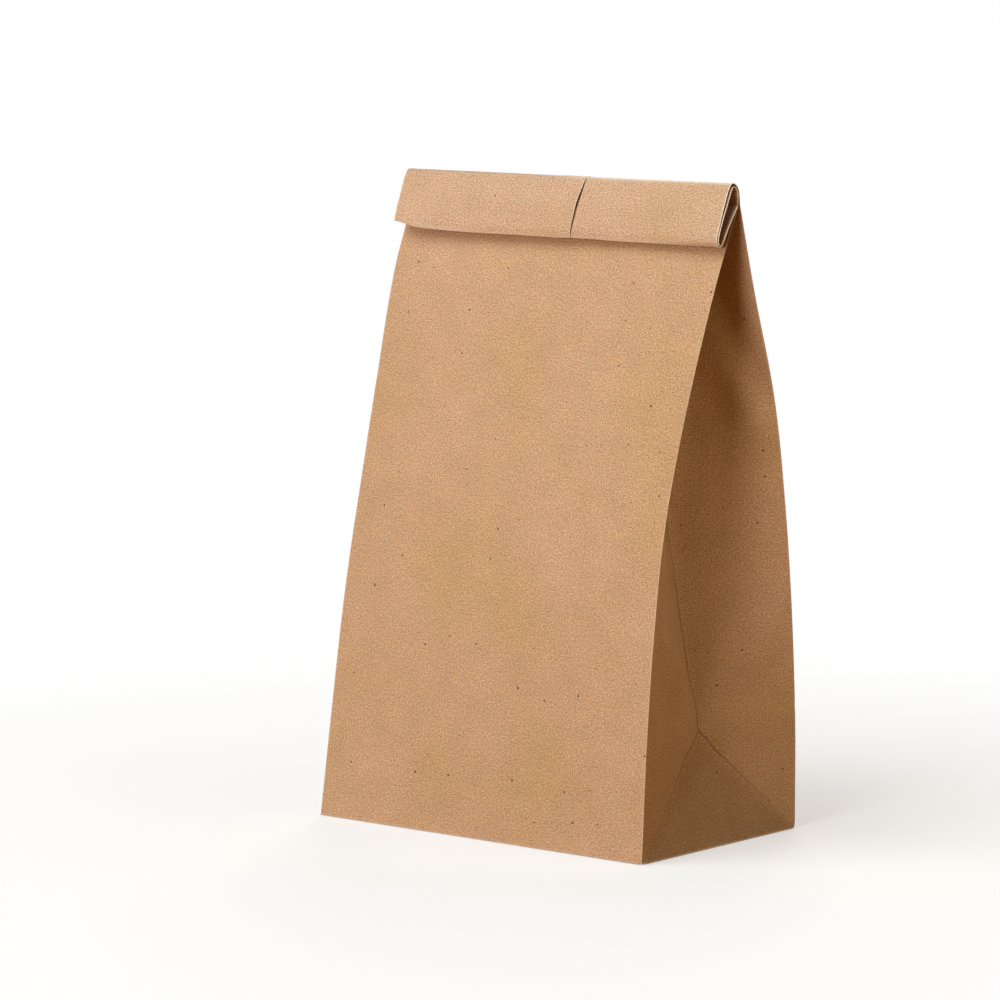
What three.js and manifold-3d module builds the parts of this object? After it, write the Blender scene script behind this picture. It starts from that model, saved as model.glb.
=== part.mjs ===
// A brown kraft paper lunch bag with a square base, standing, with its mouth
// pinched flat and rolled forward once over the front panel.
// The bag is one folded sheet of paper, so it is one solid. Its mouth is closed
// and nobody sees inside, so the body is solid up to the pinch, and the rolled
// top is a strip as thick as the flattened plies, with its loop left open.
// Millimetres, +Z up, front towards -Y, origin at the middle of the base.
import * as THREE from 'three';
import { mergeVertices } from 'three/addons/utils/BufferGeometryUtils.js';
import Module from 'manifold-3d';

// ---- driving dimensions ----
const WIDTH = 152.4; // front and rear panel
const DEPTH = 92; // base, front to rear, and the full width of one gusset
const PINCH_HEIGHT = 231.5; // where the two panels come together
const TRIANGLE_RISE = 41; // base to the tip of a side triangle, along the paper
const PLY_STACK = 1; // the flattened plies with the air between them
const STEP_HEIGHT = 40; // height between the points of an upright edge
const LEVELS_ABOVE_APEX = 20; // rings of the loft over the side triangles
const LEVELS_BELOW_APEX = 4; // rings of the loft beside them
const ROLL_STEPS = 72; // steps along the rolled strip
const SLIT_LENGTH = 19.5; // in the rear panel, which faces forward on the roll
const SLIT_WIDTH = 0.9;
const SLIT_OFFSET = 10; // right of the middle
const SLIT_TILT = 1.5; // sideways lean over its length
const SLIT_STEPS = 8; // steps along each curved lip
const WELD = 1e-4; // vertices closer than this are one

const HALF_WIDTH = WIDTH / 2;
const HALF_DEPTH = DEPTH / 2;

// How far forward or back each upright edge stands, every STEP_HEIGHT up from
// the base and last at the pinch. The right side is opened further than the left.
const EDGES = {
  frontRight: [-HALF_DEPTH, -43.5, -39.5, -33, -21, -5.5, 9.15],
  rearRight: [HALF_DEPTH, 45.6, 43.3, 38.8, 31.7, 19, 9.95],
  frontLeft: [-HALF_DEPTH, -39.5, -32.5, -23.5, -13.8, -3.6, 9.15],
  rearLeft: [HALF_DEPTH, 42.5, 38, 32, 24.5, 16.5, 9.95],
};

// The middle of the rolled strip, seen from the right end as [forward-back,
// height]: up from the pinch, over the top fold, down the front wall of the
// roll, round its lower fold and up behind, to the mouth of the bag.
const ROLL_PATH = [
  [9.6, 230.4], [9.3, 234], [8.1, 237.4], [6, 238.7], [4.1, 237.3],
  [0.8, 230.4], [-2.9, 221.6], [-3.4, 218.6], [-2.1, 217.2], [-0.4, 218],
  [3.2, 223.8], [7.4, 229.7],
];

// ---- upright edges and gussets ----

/** The upright edges as smooth curves through their points. */
const edgeCurves = Object.fromEntries(
  Object.entries(EDGES).map(([name, places]) => [name, new THREE.SplineCurve(
    places.map((y, i) => new THREE.Vector2(y, Math.min(i * STEP_HEIGHT, PINCH_HEIGHT))),
  )]),
);

/** How far back an upright edge stands at a height, found by halving. */
function edgeAt(name, height) {
  let low = 0;
  let high = 1;
  for (let i = 0; i < 30; i += 1) {
    const middle = (low + high) / 2;
    if (edgeCurves[name].getPoint(middle).y < height) {
      low = middle;
    } else {
      high = middle;
    }
  }
  return edgeCurves[name].getPoint(high).x;
}

/**
 * The valley crease of a gusset at a height. Each half of the gusset is half
 * the depth of the bag wide, so the closer the panels, the deeper the valley.
 */
function valleyAt(front, rear, side, height) {
  const y0 = edgeAt(front, height);
  const y1 = edgeAt(rear, height);
  const halfGap = (y1 - y0) / 2;
  const inward = Math.sqrt(Math.max(HALF_DEPTH ** 2 - halfGap ** 2, 0));
  return new THREE.Vector3(side * (HALF_WIDTH - inward), (y0 + y1) / 2, height);
}

/**
 * The tip of a side triangle, where the valley ends and two diagonals run down
 * to the corners of the base. It leans inward, so it is lower than its rise.
 */
function apexOf(front, rear, side) {
  let apex = valleyAt(front, rear, side, TRIANGLE_RISE);
  for (let i = 0; i < 12; i += 1) {
    const inward = HALF_WIDTH - Math.abs(apex.x);
    apex = valleyAt(front, rear, side, Math.sqrt(TRIANGLE_RISE ** 2 - inward ** 2));
  }
  return apex;
}

/** Five points across one side of the bag at a height, from front to rear. */
function sidePoints(front, rear, side, height) {
  const apex = apexOf(front, rear, side);
  const frontEdge = new THREE.Vector3(side * HALF_WIDTH, edgeAt(front, height), height);
  const rearEdge = new THREE.Vector3(side * HALF_WIDTH, edgeAt(rear, height), height);
  if (height < apex.z) {
    const up = height / apex.z;
    const frontCorner = new THREE.Vector3(side * HALF_WIDTH, edgeAt(front, 0), 0);
    const rearCorner = new THREE.Vector3(side * HALF_WIDTH, edgeAt(rear, 0), 0);
    const frontDiagonal = frontCorner.lerp(apex, up);
    const rearDiagonal = rearCorner.lerp(apex, up);
    const middle = frontDiagonal.clone().lerp(rearDiagonal, 0.5);
    return [frontEdge, frontDiagonal, middle, rearDiagonal, rearEdge];
  }
  const valley = valleyAt(front, rear, side, height);
  const spread = Math.min((height - apex.z) / DEPTH, 0.5);
  const frontHalf = valley.clone().lerp(frontEdge, spread);
  const rearHalf = valley.clone().lerp(rearEdge, spread);
  return [frontEdge, frontHalf, valley, rearHalf, rearEdge];
}

/** One ring round the body at a height, anticlockwise seen from above. */
function ringAt(height) {
  const right = sidePoints('frontRight', 'rearRight', 1, height);
  const left = sidePoints('frontLeft', 'rearLeft', -1, height);
  return [...right, ...left.reverse()];
}

/** The heights of the rings, with one at each side's apex. */
function ringHeights() {
  const apexes = [
    apexOf('frontRight', 'rearRight', 1).z,
    apexOf('frontLeft', 'rearLeft', -1).z,
  ].sort((a, b) => a - b);
  const heights = [];
  for (let i = 0; i < LEVELS_BELOW_APEX; i += 1) {
    heights.push((apexes[0] * i) / LEVELS_BELOW_APEX);
  }
  heights.push(apexes[0]);
  for (let i = 0; i <= LEVELS_ABOVE_APEX; i += 1) {
    heights.push(THREE.MathUtils.lerp(apexes[1], PINCH_HEIGHT, i / LEVELS_ABOVE_APEX));
  }
  return heights;
}

/**
 * A closed solid lofted through rings of points. Each ring runs anticlockwise
 * seen from the last one, and an end is closed by bands between the two halves
 * of its ring, so that no new point is needed.
 */
function loft(rings) {
  const count = rings[0].length;
  const last = count - 1;
  const triangles = [];
  for (let k = 0; k + 1 < rings.length; k += 1) {
    for (let i = 0; i < count; i += 1) {
      const next = (i + 1) % count;
      const [a, b] = [rings[k][i], rings[k][next]];
      const [c, d] = [rings[k + 1][next], rings[k + 1][i]];
      triangles.push([a, b, c], [a, c, d]);
    }
  }
  for (const [ring, isEnd] of [[rings[0], false], [rings.at(-1), true]]) {
    for (let i = 0; i < count / 2 - 1; i += 1) {
      const [a, b, c, d] = [ring[i], ring[i + 1], ring[last - i - 1], ring[last - i]];
      triangles.push(isEnd ? [a, b, c] : [a, c, b], isEnd ? [a, c, d] : [a, d, c]);
    }
  }
  return new THREE.BufferGeometry().setFromPoints(triangles.flat());
}

// ---- the rolled top ----

/** The strip of flattened plies, as wide as the bag. */
function rollGeometry() {
  const path = new THREE.SplineCurve(ROLL_PATH.map(([y, z]) => new THREE.Vector2(y, z)));
  const outer = [];
  const inner = [];
  for (let i = 0; i <= ROLL_STEPS; i += 1) {
    const place = path.getPointAt(i / ROLL_STEPS);
    const along = path.getTangentAt(i / ROLL_STEPS);
    const offset = new THREE.Vector2(along.y, -along.x).multiplyScalar(PLY_STACK / 2);
    outer.push(place.clone().add(offset));
    inner.push(place.clone().sub(offset));
  }
  const section = [...outer, ...inner.reverse()];
  const ends = [-HALF_WIDTH, HALF_WIDTH];
  return loft(ends.map((x) => section.map((p) => new THREE.Vector3(x, p.x, p.y))));
}

/**
 * The long pointed recess that the slit leaves in the outer plies of the roll's
 * front wall. It goes half the wall deep, down to the plies behind.
 */
function slitGeometry() {
  const lens = new THREE.Shape();
  lens.moveTo(0, -SLIT_LENGTH / 2);
  lens.quadraticCurveTo(SLIT_WIDTH, 0, 0, SLIT_LENGTH / 2);
  lens.quadraticCurveTo(-SLIT_WIDTH, 0, 0, -SLIT_LENGTH / 2);
  const cutter = new THREE.ExtrudeGeometry(lens, {
    depth: 2 * PLY_STACK,
    bevelEnabled: false,
    curveSegments: SLIT_STEPS,
  });
  const top = new THREE.Vector3(SLIT_OFFSET + SLIT_TILT / 2, ...ROLL_PATH[4]);
  const bottom = new THREE.Vector3(SLIT_OFFSET - SLIT_TILT / 2, ...ROLL_PATH[6]);
  const along = top.clone().sub(bottom).normalize();
  const outward = new THREE.Vector3(1, 0, 0).cross(along).normalize();
  const sideways = along.clone().cross(outward);
  const place = new THREE.Matrix4().makeBasis(sideways, along, outward);
  place.setPosition(top.add(bottom).multiplyScalar(0.5));
  return cutter.applyMatrix4(place);
}

// ---- joining ----

const wasm = await Module();
wasm.setup();

/** A closed geometry as a solid, with its shared vertices merged. */
function toSolid(geometry) {
  const bare = geometry.index ? geometry.toNonIndexed() : geometry.clone();
  bare.deleteAttribute('normal');
  bare.deleteAttribute('uv');
  const welded = mergeVertices(bare, WELD);
  const corners = [];
  for (let i = 0; i < welded.index.count; i += 3) {
    const [a, b, c] = [0, 1, 2].map((k) => welded.index.getX(i + k));
    if (a !== b && b !== c && c !== a) {
      corners.push(a, b, c);
    }
  }
  return new wasm.Manifold(new wasm.Mesh({
    numProp: 3,
    vertProperties: new Float32Array(welded.attributes.position.array),
    triVerts: new Uint32Array(corners),
  }));
}

/** A solid as a geometry with flat faces. */
function toGeometry(solid) {
  const mesh = solid.getMesh();
  const geometry = new THREE.BufferGeometry();
  geometry.setAttribute('position', new THREE.BufferAttribute(mesh.vertProperties, 3));
  geometry.setIndex(new THREE.BufferAttribute(mesh.triVerts, 1));
  const flat = geometry.toNonIndexed();
  flat.computeVertexNormals();
  return flat;
}

// ---- the bag ----

const kraftPaper = new THREE.MeshStandardMaterial({
  name: 'kraft_paper',
  color: 0xc59a70,
  roughness: 0.85,
  metalness: 0,
});

const body = toSolid(loft(ringHeights().map(ringAt)));
const roll = toSolid(rollGeometry()).subtract(toSolid(slitGeometry()));
const paperBag = new THREE.Mesh(toGeometry(body.add(roll)), kraftPaper);
paperBag.name = 'paper_bag';

const lunchBag = new THREE.Group();
lunchBag.add(paperBag);

export default lunchBag;
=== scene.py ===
import math

import bpy
import numpy as np
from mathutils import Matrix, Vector, noise


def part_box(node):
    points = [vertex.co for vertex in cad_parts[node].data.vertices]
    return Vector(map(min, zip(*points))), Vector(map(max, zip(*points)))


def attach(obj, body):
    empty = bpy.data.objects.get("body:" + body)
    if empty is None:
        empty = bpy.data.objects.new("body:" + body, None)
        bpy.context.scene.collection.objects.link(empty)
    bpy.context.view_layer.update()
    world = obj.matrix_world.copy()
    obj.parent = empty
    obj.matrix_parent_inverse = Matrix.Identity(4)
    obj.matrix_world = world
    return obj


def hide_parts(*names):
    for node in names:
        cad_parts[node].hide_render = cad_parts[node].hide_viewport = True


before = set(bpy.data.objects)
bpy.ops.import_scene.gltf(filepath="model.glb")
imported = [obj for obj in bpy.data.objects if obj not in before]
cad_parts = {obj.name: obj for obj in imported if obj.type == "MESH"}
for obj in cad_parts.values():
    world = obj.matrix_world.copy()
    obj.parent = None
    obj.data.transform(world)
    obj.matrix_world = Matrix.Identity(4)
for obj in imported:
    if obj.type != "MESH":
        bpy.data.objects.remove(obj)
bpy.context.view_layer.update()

MM = 0.001

# ---- sizes of the bag ----
low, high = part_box("paper_bag")
WIDTH = high[0] - low[0]
HALF_WIDTH = WIDTH / 2
HALF_DEPTH = -low[1]
DEPTH = 2 * HALF_DEPTH
PINCH = 231.5 * MM  # where the two panels come together
TRIANGLE_RISE = 41 * MM  # base to the tip of a side triangle, along the paper
PAPER = 0.12 * MM  # thickness of the sheet
BASE_FLAP = 54 * MM  # how far the front and rear flaps of the base reach in
SEAM = 10 * MM  # right of the middle, the lengthwise glued lap of the rear panel
SEAM_LAP = 12 * MM

# how far forward or back each upright edge stands, every EDGE_STEP up from the
# base and last at the pinch, as in the solid
EDGE_STEP = 40 * MM
EDGES = {
    "front_right": (-46, -43.5, -39.5, -33, -21, -5.5, 9.15),
    "rear_right": (46, 45.6, 43.3, 38.8, 31.7, 19, 9.95),
    "front_left": (-46, -39.5, -32.5, -23.5, -13.8, -3.6, 9.15),
    "rear_left": (46, 42.5, 38, 32, 24.5, 16.5, 9.95),
}
# the middle of the rolled plies as (forward-back, height) up from the pinch, as in
# the solid, with its tail tucked right up
ROLL_PATH = (
    (9.6, 230.4), (9.3, 234), (8.1, 237.4), (6, 238.7), (4.1, 237.3),
    (0.8, 230.4), (-2.9, 221.6), (-3.4, 218.6), (-2.1, 217.2), (-0.4, 218),
    (3.2, 223.8), (7.3, 229.5), (8.4, 230.9),
)


# ---- curves and soft steps ----

SPLINE_STEPS = 40  # short steps from one point of a curve to the next


def spline(points):
    """A smooth curve through points, as many short steps."""
    p = np.array(points, float)
    p = np.vstack([2 * p[0] - p[1], p, 2 * p[-1] - p[-2]])
    out = []
    for a, b, c, d in zip(p, p[1:], p[2:], p[3:]):
        t = np.linspace(0, 1, SPLINE_STEPS, endpoint=False)[:, None]
        out.append(0.5 * (2 * b + (c - a) * t + (2 * a - 5 * b + 4 * c - d) * t ** 2
                          + (3 * b - a - 3 * c + d) * t ** 3))
    return np.vstack(out + [p[-2:-1]])


def ease(x, start, end):
    """0 before start, 1 after end, smooth between."""
    t = np.clip((x - start) / (end - start), 0, 1)
    return t * t * (3 - 2 * t)


def hump(x, centre, reach):
    """1 at the centre, dying away smoothly."""
    return np.exp(-((x - centre) / reach) ** 2)


def ripple(x, y, length, seed):
    """Soft uneven waves between -1 and 1, about one length long."""
    wave = np.vectorize(lambda a, b: noise.noise(Vector((a, b, seed))))
    return wave(np.asarray(x) / length, np.asarray(y) / length)


def edge_curve(name):
    """An upright edge of the bag as a function of height."""
    places = [(y * MM, min(i * EDGE_STEP, PINCH)) for i, y in enumerate(EDGES[name])]
    line = spline(places)
    return lambda z: np.interp(z, line[:, 1], line[:, 0])


edges = {name: edge_curve(name) for name in EDGES}

# the roll's path, and how far along it the pinch and the two folds are
roll_line = spline([(y * MM, z * MM) for y, z in ROLL_PATH])
roll_at = np.concatenate([[0], np.cumsum(np.linalg.norm(np.diff(roll_line, axis=0), axis=1))])
highest = np.argmax(roll_line[:, 1])
lowest = highest + np.argmin(roll_line[highest:, 1])
ROLL_START = np.interp(PINCH, roll_line[:SPLINE_STEPS, 1], roll_at[:SPLINE_STEPS])
ROLL_LENGTH = roll_at[-1] - ROLL_START
TOP_FOLD = roll_at[highest] - ROLL_START
LOW_FOLD = roll_at[lowest] - ROLL_START


# ---- the fold: from the flat blank to the standing bag ----

def valley(side, z):
    """Inward depth, middle and half gap of a gusset at a height."""
    y0 = edges["front_" + side](z)
    y1 = edges["rear_" + side](z)
    half = (y1 - y0) / 2
    deep = np.sqrt(np.maximum(HALF_DEPTH ** 2 - half ** 2, 0))
    return deep, (y0 + y1) / 2, half


def apex(side):
    """Height, inward depth and middle at the tip of a side triangle."""
    z = TRIANGLE_RISE
    for _ in range(20):
        deep, middle, _half = valley(side, z)
        z = np.sqrt(TRIANGLE_RISE ** 2 - deep ** 2)
    return float(z), float(deep), float(middle)


APEX = {side: apex(side) for side in ("right", "left")}


def gusset_body(side, q, z):
    """Inward depth and place across, from the front edge (q -1) to the rear edge (q 1)."""
    deep, middle, half = valley(side, z)
    top, apex_deep, apex_middle = APEX[side]
    inward = deep * (1 - np.abs(q))
    y = middle + half * q
    up = np.clip(z / top, 0, 1)
    diagonal = 1 - up
    base_inward = apex_deep * up
    base_y = apex_middle * up + HALF_DEPTH * q
    k = (1 - np.abs(q)) / np.maximum(1 - diagonal, 1e-6)
    edge_y = middle + half * np.sign(q)
    diagonal_y = apex_middle * up + HALF_DEPTH * diagonal * np.sign(q)
    wing_inward = base_inward * k
    wing_y = edge_y + (diagonal_y - edge_y) * k
    in_triangle = np.abs(q) <= diagonal
    low_inward = np.where(in_triangle, base_inward, wing_inward)
    low_y = np.where(in_triangle, base_y, wing_y)
    below = z < top
    return np.where(below, low_inward, inward), np.where(below, low_y, y)


def on_roll_path(at):
    """Where the roll's path is, a length along it."""
    at = np.clip(at, 0, roll_at[-1])
    return np.interp(at, roll_at, roll_line[:, 0]), np.interp(at, roll_at, roll_line[:, 1])


def roll_frame(s):
    """The middle of the rolled plies, and the way out of the roll, past the pinch."""
    at = np.clip(ROLL_START + s, 0, roll_at[-1])
    short = 0.25 * MM
    y, z = on_roll_path(at)
    y_before, z_before = on_roll_path(at - short)
    y_after, z_after = on_roll_path(at + short)
    size = np.hypot(y_after - y_before, z_after - z_before)
    return y, z, (z_after - z_before) / size, -(y_after - y_before) / size


def roll_lift(x):
    """How much higher the roll's lower fold lies towards the left end, and its uneven line."""
    rise = 0.5 * ease(-x, -60 * MM, 60 * MM) + 1.1 * ease(-x, 38 * MM, 78 * MM)
    rise = rise + 1.9 * ease(-x, 64 * MM, 77 * MM)
    near_seam = hump(x, SEAM + 3 * MM, 9 * MM)
    uneven = 0.3 * ripple(x, 0 * x, 24 * MM, 3.1) + 0.45 * near_seam * ripple(x, 0 * x, 5 * MM, 8.4)
    return (rise + uneven * ease(HALF_WIDTH - np.abs(x), 0, 12 * MM)) * MM


PERIMETER = 2 * WIDTH + 2 * DEPTH
# the four panels and gussets, and where each starts, round the bag
FRONT, RIGHT, REAR, LEFT = range(4)
STARTS = np.cumsum([0, WIDTH, DEPTH, WIDTH, DEPTH])
SEAM_U = STARTS[REAR] + HALF_WIDTH - SEAM
PROUD = 0.42 * MM  # the inner pair of plies stands out at the roll's right end


def panel_of(u):
    """Which of the four panels and gussets a place round the bag is on."""
    return np.clip(np.searchsorted(STARTS, u, side="right") - 1, FRONT, LEFT)


def panel_x(panel, u):
    """How far right of the middle a place on the front or rear panel is."""
    return np.where(panel == FRONT, u - HALF_WIDTH, HALF_WIDTH - (u - STARTS[REAR]))


def body_place(panel, x, q, v):
    """A place between the base and the pinch: x is across a panel, q across a gusset."""
    z = np.clip(v, 0, PINCH)
    t = np.clip((x + HALF_WIDTH) / WIDTH, 0, 1)
    y_front = edges["front_left"](z) * (1 - t) + edges["front_right"](z) * t
    y_rear = edges["rear_left"](z) * (1 - t) + edges["rear_right"](z) * t
    deep_right, y_right = gusset_body("right", q, z)
    deep_left, y_left = gusset_body("left", q, z)
    return np.stack([
        np.choose(panel, (x, HALF_WIDTH - deep_right, x, deep_left - HALF_WIDTH)),
        np.choose(panel, (y_front, y_right, y_rear, y_left)),
        z,
    ], -1)


def roll_place(panel, x, q, v):
    """A place on the rolled top: two pairs of plies with air between them, which
    are pressed together lower down."""
    s = np.clip(v - PINCH, 0, None)  # how far past the pinch
    y, z, ny, nz = roll_frame(s)
    flattened = HALF_WIDTH - HALF_DEPTH * (1 - np.abs(q))
    x = np.choose(panel, (x, flattened, x, -flattened))
    # the panels are outermost in the stack of plies, and the halves of a gusset between them
    apart = ease(s, 0, 5 * MM) * (1 - ease(s, 17 * MM, 25 * MM))
    stack = (0.42 + 0.3 * apart) * MM
    within = np.clip(q * 6, -1, 1) * (stack - 2.1 * PAPER)
    offset = np.choose(panel, (-stack, within, stack, within))
    inner_half = np.clip(-q * 3, 0, 1)
    inner_pair = np.choose(panel, (1.0, inner_half, 0.0, inner_half))
    x = x + PROUD * inner_pair * ease(x, 10 * MM, 60 * MM) * ease(s, 0.5 * MM, 5 * MM)
    # lower down, the roll lies a little closer to the bag, but for its ends
    closer = 1.7 * MM * ease(HALF_WIDTH - np.abs(x), 0, 40 * MM) * ease(z, 231 * MM, 218.5 * MM)
    # the lower fold is creased sharp, but for its open right end
    sharp = hump(s, LOW_FOLD, 1.3 * MM) * ease(x, 74 * MM, 46 * MM)
    # towards the left end the front wall runs straight down to it
    straight = 1.2 * hump(s, LOW_FOLD - 9 * MM, 8 * MM) + 0.7 * hump(s, LOW_FOLD - 4 * MM, 2.5 * MM)
    straight = straight * MM * ease(-x, 30 * MM, 74 * MM)
    # the roll is uneven below, and its top fold climbs a little to the left
    lift = roll_lift(x) * ease(z, 238 * MM, 219 * MM)
    tilt = 0.35 * MM * ease(-x, -40 * MM, 76 * MM) * ease(z, 232 * MM, 238 * MM)
    return np.stack([x, y + ny * offset + closer + straight - 1.5 * MM * sharp,
                     z + nz * offset + lift + tilt + 0.3 * MM * sharp], -1)


def base_place(panel, x, q, v):
    """A place on the base, folded like the end of a parcel, with its layers stacked."""
    down = np.clip(-v, 0, None)
    from_corner = HALF_WIDTH - np.abs(x)
    flap_x = np.sign(x) * (HALF_WIDTH - np.maximum(from_corner, down))
    flap_y = HALF_DEPTH - np.minimum(from_corner, down)
    side_x = HALF_WIDTH - down
    side_y = HALF_DEPTH * q
    # the heights of the layers: the side flaps are folded first, with the tucked-in
    # corners of the long flaps under them, then the front flap, and the rear one last
    side_layer = 5 * PAPER
    tucked = from_corner < down
    front_layer = np.where(tucked, 4.8 * PAPER, 2.65 * PAPER)
    rear_layer = np.where(tucked, 4.8 * PAPER, 1.5 * PAPER)
    return np.stack([
        np.choose(panel, (flap_x, side_x, flap_x, -side_x)),
        np.choose(panel, (-flap_y, side_y, flap_y, side_y)),
        np.choose(panel, (front_layer, side_layer, rear_layer, side_layer)),
    ], -1)


def fold(u, v):
    """The place of the sheet's outer face, from its place on the flat blank.
    u runs round the bag from the front left edge, v up from the base."""
    u, v = np.broadcast_arrays(np.mod(u, PERIMETER), v)
    panel = panel_of(u)
    x = panel_x(panel, u)
    q = np.where(panel == RIGHT, (u - STARTS[RIGHT]) / HALF_DEPTH - 1,
                 1 - (u - STARTS[LEFT]) / HALF_DEPTH)
    up = v[..., None]
    above_base = np.where(up > PINCH, roll_place(panel, x, q, v), body_place(panel, x, q, v))
    return np.where(up >= 0, above_base, base_place(panel, x, q, v))


# ---- soft dents, humps and creases of handled paper ----

def crease_line(a, b, start, end, reach):
    """A tent along a line on the sheet, 0 a reach away from it, with a blunted ridge.
    The line's ends and the reach are in millimetres."""
    start, end = np.array(start) * MM, np.array(end) * MM
    along = end - start
    length = np.linalg.norm(along)
    along = along / length
    t = (a - start[0]) * along[0] + (b - start[1]) * along[1]
    away = np.hypot(a - start[0] - np.clip(t, 0, length) * along[0],
                    b - start[1] - np.clip(t, 0, length) * along[1])
    tent = np.clip(1 - away / (reach * MM), 0, 1)
    return np.where(tent > 0.72, 0.72 + (tent - 0.72) * 0.75, tent)


def panel_relief(panel, u, v):
    """How far the front and rear panels stand out from their plain fold, in millimetres."""
    on_body = ease(v, 0, 12 * MM) * ease(PINCH - v, 2 * MM, 22 * MM)
    on_roll = ease(v, PINCH + 9 * MM, PINCH + 14 * MM) * ease(LOW_FOLD + PINCH - v, 1 * MM, 6 * MM)
    inside = ease(HALF_WIDTH - np.abs(panel_x(panel, u)), 0, 30 * MM)
    belly = 1.5 * inside * ease(v, 0, 70 * MM) * ease(PINCH - v, 10 * MM, 120 * MM)
    soft = 0.55 * ripple(u, v, 62 * MM, 1.7) + 0.28 * ripple(u, v, 27 * MM, 5.2)
    soft = soft + 0.07 * ripple(u, v, 9 * MM, 7.9)
    out = belly * on_body + soft * on_body * (0.35 + 0.65 * inside)
    out = out + 0.22 * ripple(u, v, 22 * MM, 9.3) * on_roll * inside
    # the line where the base was folded up against the rear panel when it was flat
    base_line = 0.16 * np.clip(1 - np.abs(v - HALF_DEPTH) / (2.2 * MM), 0, 1)
    return out - np.where(panel == REAR, base_line, 0)


def gusset_relief(a, u, v):
    """How far a gusset stands out from its plain fold, in millimetres.
    a runs across it from the valley, negative in its front half."""
    q = np.abs(a) / HALF_DEPTH
    tip = TRIANGLE_RISE / MM
    above = ease(v, TRIANGLE_RISE, TRIANGLE_RISE + 10 * MM) * ease(PINCH - v, 4 * MM, 30 * MM)
    rim = ease(1 - q, 0, 0.12)
    # the diagonals carry on above the tip: a firm fold to the front edge, and a faint
    # one to the rear edge
    firm = np.maximum(crease_line(a, v, (0, tip), (-17, 64.5), 11),
                      crease_line(a, v, (-17, 64.5), (-44, 84), 11))
    from_tip = np.hypot(a, v - TRIANGLE_RISE)
    bumps = 3.0 * firm * ease(1 - q, 0, 0.25) * ease(from_tip, 1 * MM, 14 * MM)
    bumps = bumps + 0.5 * crease_line(a, v, (0, tip), (44, 84), 10) * rim
    # the rear half dips towards the valley, over a line that climbs away from it
    bumps = bumps - 1.5 * crease_line(a, v, (4, 103), (13, 150), 9) * ease(a, 0, 3 * MM)
    # the rear half is dished, so that its outer part turns to the front
    bumps = bumps - 2.2 * hump(a, 24 * MM, 13 * MM) * ease(v, 55 * MM, 95 * MM) * rim
    # a long soft fold that climbs from the rear edge, with a dent behind it
    bumps = bumps + 2.0 * crease_line(a, v, (46, 147), (27, 173), 13) * rim
    bumps = bumps - 2.2 * crease_line(a, v, (44, 162), (29, 204), 9) * ease(1 - q, 0, 0.08)
    bumps = bumps + 0.45 * ripple(u, v, 24 * MM, 2.6) * rim * above
    bumps = bumps + 0.16 * ripple(u, v, 8 * MM, 4.4) * rim * above
    # the triangle is slack just under its tip, and has one short upright fold at its foot
    slack = hump(a, 0, 13 * MM) * hump(v, 31 * MM, 9 * MM) * ease(v, 2 * MM, 14 * MM)
    bumps = bumps - 0.8 * slack * ease(TRIANGLE_RISE - v, 0, 6 * MM)
    bumps = bumps + 0.3 * ripple(u, v, 17 * MM, 6.1) * ease(v, 0, 9 * MM) * ease(1 - q, 0, 0.1)
    bumps = bumps + 0.35 * crease_line(a, v, (8, 0), (7, 19), 3.5) * ease(v, 0, 3 * MM)
    return bumps * ease(PINCH - v, 2 * MM, 12 * MM)


def relief(u, v):
    """How far the sheet stands out from its plain fold."""
    u = np.mod(u, PERIMETER)
    panel = panel_of(u)
    on_panel = panel_relief(panel, u, v)
    on_right = gusset_relief(u - STARTS[RIGHT] - HALF_DEPTH, u, v)
    on_left = gusset_relief(STARTS[LEFT] + HALF_DEPTH - u, u, v)
    out = np.choose(panel, (on_panel, on_right, on_panel, on_left))
    return np.where(v > 0, out, 0) * MM


def seam_gape(v):
    """0 to 1: how far open the unglued stretch of the lap is, over the front of the roll."""
    middle = (TOP_FOLD + LOW_FOLD) / 2 + PINCH - 0.1 * MM
    half = (LOW_FOLD - TOP_FOLD) / 2 - 0.9 * MM
    t = np.clip(1 - ((v - middle) / half) ** 2, 0, None)
    return t ** 0.8


# ---- where the sheet is divided ----

NEAR_FOLD = np.array([0, 0.12, 0.3, 0.6, 1.2, 2.4, 4.5]) * MM
NEAR_SEAM = np.array([0, 0.12, 0.35, 0.7, 1.2, 2, 3.2, 5, 7.5]) * MM
ROUND_FOLD = np.array([-1.1, -0.7, -0.4, -0.18, 0, 0.18, 0.4, 0.7, 1.1]) * MM


def stations(length, step):
    """Places along a length, close together near its ends."""
    count = max(int(round((length - 2 * NEAR_FOLD[-1]) / step)), 1) + 1
    inner = np.linspace(NEAR_FOLD[-1], length - NEAR_FOLD[-1], count)
    return np.concatenate([NEAR_FOLD, inner[1:-1], length - NEAR_FOLD[::-1]])


panel_places = stations(WIDTH, 4 * MM)
gusset_places = stations(DEPTH, 2.3 * MM)
# columns run once round the bag from the seam and on over the lap
round_the_bag = np.concatenate([
    STARTS[REAR] + panel_places[:-1], STARTS[LEFT] + gusset_places[:-1],
    PERIMETER + panel_places[:-1], PERIMETER + STARTS[RIGHT] + gusset_places[:-1],
    PERIMETER + STARTS[REAR] + panel_places,
])
clear_of_seam = NEAR_SEAM[-1] + 1.5 * MM
between_seams = round_the_bag[(round_the_bag > SEAM_U + clear_of_seam)
                              & (round_the_bag < SEAM_U + PERIMETER - clear_of_seam)]
columns = np.concatenate([
    SEAM_U + NEAR_SEAM, between_seams,
    SEAM_U + PERIMETER - NEAR_SEAM[:0:-1],
    SEAM_U + PERIMETER + np.concatenate([NEAR_SEAM, [10 * MM, SEAM_LAP]]),
])

# rows run up from the edge of the base flaps to the mouth; those of the flaps match
# the columns, so that a flap folds at its corners along whole edges
flap_rows = -panel_places[panel_places < BASE_FLAP][:0:-1]
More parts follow.
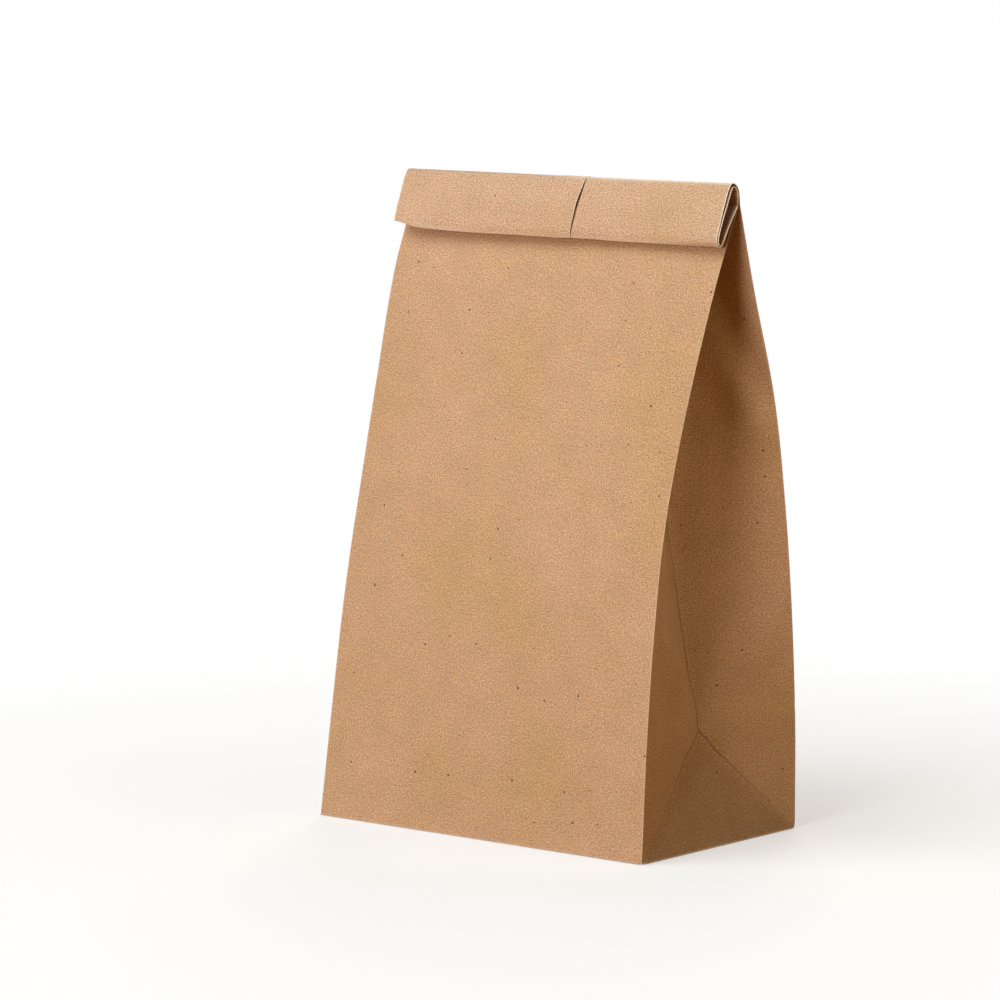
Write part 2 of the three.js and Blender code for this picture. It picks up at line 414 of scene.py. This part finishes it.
# the body's rows lie closer together over the side triangles and near the pinch
body_rows = np.concatenate([
    NEAR_FOLD,
    np.arange(7, 116, 2.8) * MM,
    np.arange(117, 223, 3.6) * MM,
    np.arange(224, 231.4, 1.3) * MM,
])
roll_rows = np.concatenate([np.linspace(0, ROLL_LENGTH, 62), TOP_FOLD + ROUND_FOLD, LOW_FOLD + ROUND_FOLD])
roll_rows = PINCH + np.unique(np.round(roll_rows, 6))
rows = np.concatenate([flap_rows, body_rows, roll_rows])


def softened(u, v):
    """The folded sheet with every crease softened, by averaging the fold over a small
    patch round each place. The patch is smallest at sharp creases and on the roll."""
    place = np.mod(u, PERIMETER)
    to_edge = np.min([np.abs(place - s) for s in STARTS], axis=0)
    in_gusset = ((place > STARTS[RIGHT]) & (place < STARTS[REAR])) | (place > STARTS[LEFT])
    soft_u = np.where(in_gusset, np.clip(0.9 * to_edge, 0.25 * MM, 1.8 * MM), 0.25 * MM)
    soft_u = np.where(v < 0, 0.1 * MM, soft_u)
    soft_u = np.where(v > PINCH, 0.12 * MM, soft_u)
    soft_v = np.clip(0.9 * np.abs(v), 0.25 * MM, 1.8 * MM) * ease(v, -0.1 * MM, 0)
    soft_v = np.where(v > PINCH + 4 * MM, 0.1 * MM, np.maximum(soft_v, 0.2 * MM))
    total = 0
    weights = ((-1, 1), (-0.6, 2), (-0.25, 3), (0.25, 3), (0.6, 2), (1, 1))
    for du, wu in weights:
        for dv, wv in weights:
            total = total + wu * wv * fold(u + du * soft_u, v + dv * soft_v)
    return total / sum(w for _, w in weights) ** 2


def outward(places):
    """Unit vectors out of the sheet."""
    around = np.gradient(places, axis=1)
    upward = np.gradient(places, axis=0)
    out = np.cross(around, upward)
    return out / np.maximum(np.linalg.norm(out, axis=-1, keepdims=True), 1e-12)


def lapped(places, out, u, v):
    """The places with the seam's first edge laid over its last one, glued but for a
    stretch on the roll, where the first edge curls up and the last one sinks and parts."""
    into = u - SEAM_U  # how far round the bag from the first edge
    over = into < SEAM_LAP + 6 * MM
    under = into > PERIMETER - 4 * MM
    gape = seam_gape(v)
    thick = PAPER + 0.02 * MM + 0.12 * MM * ease(v, 0, 8 * MM) * ease(PINCH - v, 0, 10 * MM)
    lap = np.where(over, thick * (1 - ease(into, SEAM_LAP - 2 * MM, SEAM_LAP + 2 * MM)), 0)
    curl = np.where(over, 0.25 * MM * gape * (1 - ease(into, 0, 5 * MM)), 0)
    sunk = np.where(under, 1.5 * MM * gape * ease(into, PERIMETER - 0.1 * MM, PERIMETER + 0.7 * MM), 0)
    lips = np.where(under, 0.7 * MM * gape * (1 - ease(np.abs(into - PERIMETER), 0, 4 * MM)), 0)
    places = places + out * (lap + curl - sunk)[..., None]
    lean = 0.8 * MM + 0.11 * (v - PINCH - (TOP_FOLD + LOW_FOLD) / 2) * ease(v, PINCH, PINCH + 8 * MM)
    near = np.minimum(np.abs(into), np.abs(into - PERIMETER))
    places[..., 0] += np.where(over, -0.06 * MM * gape * (1 - ease(into, 0, 4 * MM)), 0) + lips
    # the seam isn't quite upright, and leans more on the roll
    places[..., 0] -= lean * (1 - ease(near, 4 * MM, 16 * MM))
    return places


def crushed(places, corner, push, reach):
    """The places with one corner of the base pushed in, by so many millimetres."""
    away = np.linalg.norm(places - np.array(corner), axis=-1)
    return places + np.array(push) * MM * hump(away, 0, reach * MM)[..., None]


def sheet_places(u, v):
    """The finished outer face of the sheet."""
    places = softened(u, v)
    out = outward(places)
    places = lapped(places + out * relief(u, v)[..., None], out, u, v)
    places = crushed(places, (HALF_WIDTH, HALF_DEPTH, 0), (-0.25, -0.3, 0.1), 1.3)
    return crushed(places, (HALF_WIDTH, -HALF_DEPTH, 0), (-0.3, 0.3, 0.2), 1.6)


def wear_and_highlight_of(u, v):
    """0 to 1: how scuffed and pale the folds are, partly real scuffing and partly painted highlights, along
    the corner edges, the roll's folds, the foot and the cut edge of the lap.
    """
    place = np.mod(u, PERIMETER)
    to_edge = np.min([np.abs(place - s) for s in STARTS], axis=0)
    rear = panel_of(place) == REAR
    x = panel_x(REAR, place)
    s = v - PINCH
    on_roll = ease(s, 1 * MM, 4 * MM)
    edge = hump(to_edge, 0, 0.35 * MM) * (0.3 + 0.7 * on_roll)
    top = hump(s, TOP_FOLD + 0.4 * MM, 0.7 * MM) * rear * (0.12 + 0.88 * ease(x, -20 * MM, 30 * MM))
    lower = 0.16 * hump(s, LOW_FOLD - 1.5 * MM, 0.7 * MM) * rear
    foot = 0.25 * hump(v, 0, 0.5 * MM)
    cut = 0.4 * hump(u - SEAM_U, 0, 0.3 * MM) * (v > 0)
    return np.clip(np.max([edge, top, lower, foot, cut], axis=0), 0, 1)


def roll_painted_light_of(u, v):
    """0 to 1: painted light on the roll, which makes its paper a shade paler and cooler."""
    return ease(v, PINCH - 2 * MM, PINCH + 6 * MM) + 0 * u


def triangle_painted_shade_of(u, v):
    """0 to 1: painted shade on the side triangles, which makes them a shade darker."""
    place = np.mod(u, PERIMETER)
    out = 0 * u
    for gusset, side in ((RIGHT, "right"), (LEFT, "left")):
        a = np.abs(place - STARTS[gusset] - HALF_DEPTH)
        inside = 1 - a / HALF_DEPTH - v / APEX[side][0]
        out = np.where((a < HALF_DEPTH) & (v > 0), 0.75 * ease(inside, -0.01, 0.05), out)
    return out


BLANK_SPAN = 0.6  # metres of the flat blank that one whole UV unit stands for


def paper_bag():
    """The whole folded blank as one sheet, with its place on the flat blank as UVs."""
    u, v = np.meshgrid(columns, rows)
    places = sheet_places(u, v)
    n_rows, n_cols = u.shape
    place = np.mod(columns, PERIMETER)
    panel = panel_of(place)
    faces = []
    for j in range(n_rows - 1):
        for i in range(n_cols - 1):
            a, b = j * n_cols + i, j * n_cols + i + 1
            d, c = a + n_cols, b + n_cols
            # a cell of a long base flap is cut along the fold at its nearer corner
            if rows[j] >= 0 or panel[i] in (RIGHT, LEFT):
                faces.append((a, b, c, d))
            elif place[i] - STARTS[panel[i]] < HALF_WIDTH:
                faces += [(a, b, d), (b, c, d)]
            else:
                faces += [(a, b, c), (a, c, d)]
    mesh = bpy.data.meshes.new("kraft_paper_bag")
    mesh.from_pydata(places.reshape(-1, 3).tolist(), [], faces)
    mesh.update()
    blank = mesh.uv_layers.new(name="blank")
    corner = np.empty(len(mesh.loops), dtype=np.int32)
    mesh.loops.foreach_get("vertex_index", corner)
    flat = np.stack([(u - SEAM_U).ravel(), (v + BASE_FLAP).ravel()], -1) / BLANK_SPAN
    blank.data.foreach_set("uv", flat[corner].astype(np.float32).ravel())
    # the attributes carry scuffing with painted highlights, painted light on the roll, and painted shade on
    # the side triangles
    for name, values in (("wear_and_highlight", wear_and_highlight_of), ("roll_painted_light", roll_painted_light_of), ("triangle_painted_shade", triangle_painted_shade_of)):
        made = mesh.attributes.new(name, "FLOAT", "POINT")
        made.data.foreach_set("value", values(u, v).ravel().astype(np.float32))
    bag = bpy.data.objects.new("kraft_paper_bag", mesh)
    bpy.context.collection.objects.link(bag)
    return bag


# ---- materials ----

def hex_colour(text):
    """An sRGB hex colour as linear numbers."""
    parts = [int(text[i:i + 2], 16) / 255 for i in (0, 2, 4)]
    return tuple(c / 12.92 if c <= 0.04045 else ((c + 0.055) / 1.055) ** 2.4 for c in parts) + (1.0,)


# a Mix node's two colours and its result; a Map Range node takes its value, then the
# least and most of what comes in, then the least and most of what goes out
FIRST, SECOND, MIXED = 6, 7, 2


def node(tree, kind, inputs=(), **settings):
    """Adds a node with its settings, and its inputs as values or links."""
    made = tree.nodes.new(kind)
    for name, value in settings.items():
        setattr(made, name, value)
    for socket, value in dict(inputs).items():
        if isinstance(value, bpy.types.NodeSocket):
            tree.links.new(value, made.inputs[socket])
        else:
            made.inputs[socket].default_value = value
    return made


def mottle(tree, at, size, detail=2.0, stretch=(1, 1, 1)):
    """Uneven lumps on the sheet, about as many millimetres across as their size."""
    placed = node(tree, "ShaderNodeVectorMath", {0: at, 1: stretch}, operation="MULTIPLY").outputs[0]
    return node(tree, "ShaderNodeTexNoise", {
        "Vector": placed, "Scale": 0.5 / size, "Detail": detail, "Roughness": 0.6,
    }).outputs["Fac"]


def specks(tree, at, cell, radius, share):
    """Ragged spots up to a radius, in a share of cells of a size, all in millimetres."""
    cells = node(tree, "ShaderNodeTexVoronoi", {"Vector": at, "Scale": 1 / cell}, voronoi_dimensions="2D")
    pick = node(tree, "ShaderNodeSeparateColor", {0: cells.outputs["Color"]}).outputs
    size = node(tree, "ShaderNodeMapRange", {0: pick[0], 3: 0.4 * radius, 4: radius}).outputs[0]
    ragged = node(tree, "ShaderNodeMath", {0: mottle(tree, at, 0.4), 1: 0.8 * radius, 2: size},
                  operation="MULTIPLY_ADD").outputs[0]
    away = node(tree, "ShaderNodeMath", {0: cells.outputs["Distance"], 1: cell},
                operation="MULTIPLY").outputs[0]
    inside = node(tree, "ShaderNodeMath", {0: ragged, 1: away}, operation="SUBTRACT").outputs[0]
    start = 0.3 * radius
    edge = node(tree, "ShaderNodeMapRange", {0: inside, 1: start, 2: start + 0.15}).outputs[0]
    chosen = node(tree, "ShaderNodeMath", {0: pick[1], 1: share}, operation="LESS_THAN").outputs[0]
    return node(tree, "ShaderNodeMath", {0: edge, 1: chosen}, operation="MULTIPLY").outputs[0]


def crease_shade_and_groove_of(tree, at):
    """0 to 1 on the creases that the bag machine pressed 0.5 mm wide into both gussets:
    the valley, and the two diagonals from its foot to the corners of the base. The
    mask darkens the colour there as painted shade, and cuts a groove into the bump."""
    place = node(tree, "ShaderNodeSeparateXYZ", {0: at}).outputs
    # how far from the valley, and how far up from the triangle's tip, in millimetres
    middle = (STARTS[RIGHT] + HALF_DEPTH - SEAM_U) / MM
    across = node(tree, "ShaderNodeMath", {0: place[0], 1: middle}, operation="SUBTRACT").outputs[0]
    # the left gusset is half way round the bag from the right one
    quarter = PERIMETER / 4 / MM
    across = node(tree, "ShaderNodeMath", {0: across, 1: quarter, 2: -quarter}, operation="WRAP").outputs[0]
    across = node(tree, "ShaderNodeMath", {0: across}, operation="ABSOLUTE").outputs[0]
    tip = (BASE_FLAP + TRIANGLE_RISE) / MM
    above = node(tree, "ShaderNodeMath", {0: place[1], 1: tip}, operation="SUBTRACT").outputs[0]

    line = node(tree, "ShaderNodeMapRange", {0: across, 1: 0.1, 2: 0.5, 3: 1.0, 4: 0.0}).outputs[0]
    starts = node(tree, "ShaderNodeMapRange", {0: above, 1: -0.3, 2: 0.3}).outputs[0]
    line = node(tree, "ShaderNodeMath", {0: line, 1: starts}, operation="MULTIPLY").outputs[0]

    slope = TRIANGLE_RISE / HALF_DEPTH
    away = node(tree, "ShaderNodeMath", {0: across, 1: slope, 2: above}, operation="MULTIPLY_ADD").outputs[0]
    away = node(tree, "ShaderNodeMath", {0: away}, operation="ABSOLUTE").outputs[0]
    diagonal = node(tree, "ShaderNodeMapRange", {0: away, 1: 0.15, 2: 0.75, 3: 1.0, 4: 0.0}).outputs[0]
    fades = node(tree, "ShaderNodeMapRange", {0: above, 1: -36.0, 2: -4.0, 3: 0.15, 4: 1.0}).outputs[0]
    diagonal = node(tree, "ShaderNodeMath", {0: diagonal, 1: fades}, operation="MULTIPLY").outputs[0]
    return node(tree, "ShaderNodeMath", {0: line, 1: diagonal}, operation="MAXIMUM").outputs[0]


def kraft_paper():
    """Unbleached kraft paper, made wet on a wire and calendered once: a matte brown
    sheet, cloudy where the pulp lay thicker, with short fibres mostly along the
    machine's run and a few dark specks of bark. Rubbed folds show paler broken
    fibres, partly real scuffing and partly painted highlights; the pressed creases
    and the side triangles are darker with painted shade, and the roll is paler and
    cooler with painted light."""
    made = bpy.data.materials.new("unbleached_kraft_paper")
    made.use_nodes = True
    tree = made.node_tree
    shader = tree.nodes["Principled BSDF"]
    # a place on the flat blank, in millimetres
    sheet = node(tree, "ShaderNodeUVMap", uv_map="blank").outputs[0]
    at = node(tree, "ShaderNodeVectorMath", {0: sheet, "Scale": BLANK_SPAN / MM},
              operation="SCALE").outputs[0]

    # a broad drift of tone, in patches of 30 mm
    drift = node(tree, "ShaderNodeMapRange", {0: mottle(tree, at, 30, 1.0), 1: 0.3, 2: 0.7}).outputs[0]
    colour = node(tree, "ShaderNodeMix", {
        0: drift, FIRST: hex_colour("ba976f"), SECOND: hex_colour("c09b7c"),
    }, data_type="RGBA").outputs[MIXED]
    # clouds of pulp of 6 mm; the grain of the pulp, whose real clumps are 0.2 mm, drawn
    # at 0.28 mm so that they show; fibres 2 mm long and 0.03 mm wide, drawn 0.25 mm wide
    grain = mottle(tree, at, 0.28, 2.0)
    fibres = mottle(tree, at, 0.25, 2.0, (1, 0.2, 1))
    for pattern, least, most, dark, light in (
        (mottle(tree, at, 6), 0.28, 0.72, 0.95, 1.045),
        (grain, 0.22, 0.78, 0.35, 1.65),
        (fibres, 0.3, 0.7, 0.93, 1.07),
    ):
        tone = node(tree, "ShaderNodeMapRange",
                    {0: pattern, 1: least, 2: most, 3: dark, 4: light}).outputs[0]
        colour = node(tree, "ShaderNodeVectorMath", {0: colour, "Scale": tone},
                      operation="SCALE").outputs[0]

    # bark specks up to 1 mm across and fainter ones, and a few pale knots of fibre
    for cell, radius, share, strength, tint in (
        (15, 0.5, 0.42, 0.85, "4a2e1a"), (9, 0.4, 0.6, 0.4, "6b4627"), (7, 0.3, 0.5, 0.4, "e9cda8"),
    ):
        spots = specks(tree, at, cell, radius, share)
        faint = node(tree, "ShaderNodeMath", {0: spots, 1: strength}, operation="MULTIPLY").outputs[0]
        colour = node(tree, "ShaderNodeMix", {0: faint, FIRST: colour, SECOND: hex_colour(tint)},
                      data_type="RGBA").outputs[MIXED]

    # painted shade darkens the pressed creases and the side triangles, and painted light
    # makes the roll a shade paler and cooler: each multiplies the red, green and blue
    crease_shade_and_groove = crease_shade_and_groove_of(tree, at)
    triangle_painted_shade = node(tree, "ShaderNodeAttribute", attribute_name="triangle_painted_shade").outputs["Fac"]
    roll_painted_light = node(tree, "ShaderNodeAttribute", attribute_name="roll_painted_light").outputs["Fac"]
    for part, shade in (
        (crease_shade_and_groove, (0.62, 0.56, 0.48, 1)),
        (triangle_painted_shade, (0.76, 0.72, 0.66, 1)),
        (roll_painted_light, (1.08, 1.14, 1.3, 1)),
    ):
        colour = node(tree, "ShaderNodeMix", {0: part, FIRST: colour, SECOND: shade},
                      data_type="RGBA", blend_type="MULTIPLY").outputs[MIXED]

    # scuffed folds are paler still, with painted highlights on them, in broken runs of a millimetre or two
    rubbed_and_highlit = node(tree, "ShaderNodeAttribute", attribute_name="wear_and_highlight").outputs["Fac"]
    broken = node(tree, "ShaderNodeMapRange",
                  {0: mottle(tree, at, 1.1, 3.0), 1: 0.3, 2: 0.6, 3: 0.7}).outputs[0]
    worn_and_highlit = node(tree, "ShaderNodeMath", {0: rubbed_and_highlit, 1: broken}, operation="MULTIPLY").outputs[0]
    colour = node(tree, "ShaderNodeMix", {0: worn_and_highlit, FIRST: colour, SECOND: hex_colour("f8ecdc")},
                  data_type="RGBA").outputs[MIXED]
    tree.links.new(colour, shader.inputs["Base Color"])

    # clumps and fibres stand 0.05 mm out of the sheet, a broader cockle of 0.1 mm is
    # 5 mm across, and the creases are 0.12 mm deep
    fuzz = node(tree, "ShaderNodeMath", {0: grain, 1: fibres}, operation="ADD").outputs[0]
    bump = node(tree, "ShaderNodeBump", {"Height": fuzz, "Distance": 0.05 * MM})
    cockle = node(tree, "ShaderNodeBump", {"Height": mottle(tree, at, 5, 1.0), "Distance": 0.1 * MM,
                                           "Normal": bump.outputs[0]})
    groove = node(tree, "ShaderNodeBump", {"Height": crease_shade_and_groove, "Distance": 0.12 * MM,
                                           "Normal": cockle.outputs[0]}, invert=True)
    tree.links.new(groove.outputs[0], shader.inputs["Normal"])
    shader.inputs["Roughness"].default_value = 0.86
    shader.inputs["IOR"].default_value = 1.46
    shader.inputs["Specular IOR Level"].default_value = 0.3
    return made


# ---- the bag ----

bag = paper_bag()
bpy.ops.object.select_all(action="DESELECT")
bpy.context.view_layer.objects.active = bag
bag.select_set(True)
bag.modifiers.new("thickness", "SOLIDIFY")
bag.modifiers["thickness"].thickness = PAPER
bag.modifiers["thickness"].offset = -1
bpy.ops.object.modifier_apply(modifier="thickness")
bpy.ops.object.shade_smooth_by_angle(angle=math.radians(50))
bag.data.materials.append(kraft_paper())

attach(bag, "root")
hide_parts("paper_bag")


# ---- floor, light and camera ----

def pale_floor():
    """A plain pale floor that brightens to white away from the bag and throws warm light on it."""
    made = bpy.data.materials.new("pale_floor")
    made.use_nodes = True
    tree = made.node_tree
    tree.nodes.remove(tree.nodes["Principled BSDF"])
    out = tree.nodes["Material Output"]
    place = node(tree, "ShaderNodeTexCoord").outputs["Object"]
    away = node(tree, "ShaderNodeVectorMath", {0: place}, operation="LENGTH").outputs["Value"]
    far = node(tree, "ShaderNodeMapRange", {0: away, 1: 0.12, 2: 0.42}).outputs[0]
    near = node(tree, "ShaderNodeBsdfDiffuse", {"Color": hex_colour("fbfaf8")}).outputs[0]
    white = node(tree, "ShaderNodeEmission", {"Color": (1, 1, 1, 1), "Strength": 1.0}).outputs[0]
    lifted = node(tree, "ShaderNodeMixShader", {0: 0.5, 1: near, 2: white}).outputs[0]
    seen = node(tree, "ShaderNodeMixShader", {0: far, 1: lifted, 2: white}).outputs[0]
    warm = node(tree, "ShaderNodeBsdfDiffuse", {"Color": hex_colour("a5763c")}).outputs[0]
    ray = node(tree, "ShaderNodeLightPath").outputs["Is Camera Ray"]
    mix = node(tree, "ShaderNodeMixShader", {0: ray, 1: warm, 2: seen}).outputs[0]
    tree.links.new(mix, out.inputs["Surface"])
    return made


bpy.ops.mesh.primitive_circle_add(vertices=96, radius=3, fill_type="NGON", location=(0, 0, 0))
floor = bpy.context.object
floor.name = "floor"
floor.data.materials.append(pale_floor())

world = bpy.data.worlds.new("studio")
bpy.context.scene.world = world
world.use_nodes = True
sky = world.node_tree
toward = node(sky, "ShaderNodeTexCoord").outputs["Generated"]
height = node(sky, "ShaderNodeSeparateXYZ", {0: toward}).outputs[2]
# the room's faint warm light, a little stronger from the side than from overhead
level = node(sky, "ShaderNodeMapRange", {0: height, 1: 0.0, 2: 0.9, 3: 0.06, 4: 0.04}).outputs[0]
room = node(sky, "ShaderNodeBackground", {"Color": (1, 0.7, 0.42, 1), "Strength": level}).outputs[0]
backdrop = node(sky, "ShaderNodeBackground", {"Color": (1, 1, 1, 1), "Strength": 1.0}).outputs[0]
seen = node(sky, "ShaderNodeLightPath").outputs["Is Camera Ray"]
mixed = node(sky, "ShaderNodeMixShader", {0: seen, 1: room, 2: backdrop}).outputs[0]
sky.links.new(mixed, sky.nodes["World Output"].inputs["Surface"])


def softbox(name, place, aim, size, power, colour):
    """A round soft light that faces its aim, its size across in metres and its power in watts."""
    light = bpy.data.lights.new(name, "AREA")
    light.shape = "DISK"
    light.size = size
    light.energy = power
    light.color = colour
    lamp = bpy.data.objects.new(name, light)
    bpy.context.collection.objects.link(lamp)
    lamp.location = place
    lamp.rotation_euler = (Vector(aim) - Vector(place)).to_track_quat("-Z", "Y").to_euler()


softbox("overhead", (-0.35, -1.0, 1.5), (0, 0, 0.12), 1.7, 28, (0.96, 1, 1))
softbox("low_front", (0.28, -1.6, 0.32), (0, 0, 0.1), 0.6, 12.8, (1, 0.93, 0.88))
softbox("side", (1.4, -0.2, 0.3), (0, 0, 0.14), 0.6, 1.0, (1, 0.7, 0.4))
softbox("side_near", (0.36, 0.06, 0.27), (0.05, 0, 0.18), 0.2, 0.29, (1, 0.87, 0.6))
softbox("rear", (0.5, 1.25, 0.3), (0, 0, 0.12), 0.5, 1.2, (1, 0.8, 0.5))
# this one is behind the bag to the left, and reaches only its back, left side and top
softbox("back", (-0.8, 1.3, 0.75), (0, 0, 0.12), 0.8, 12, (1, 0.95, 0.86))

# a long lens from the front right, a little above the bag
camera_data = bpy.data.cameras.new("camera")
camera_data.lens = 173.0
camera_data.clip_end = 20
camera = bpy.data.objects.new("camera", camera_data)
bpy.context.collection.objects.link(camera)
camera.location = (1.1051, -1.3675, 0.3317)
camera.rotation_euler = (math.radians(90 - 6.854), 0, math.radians(39.62))
bpy.context.scene.camera = camera
bpy.context.scene.view_settings.view_transform = "Standard"
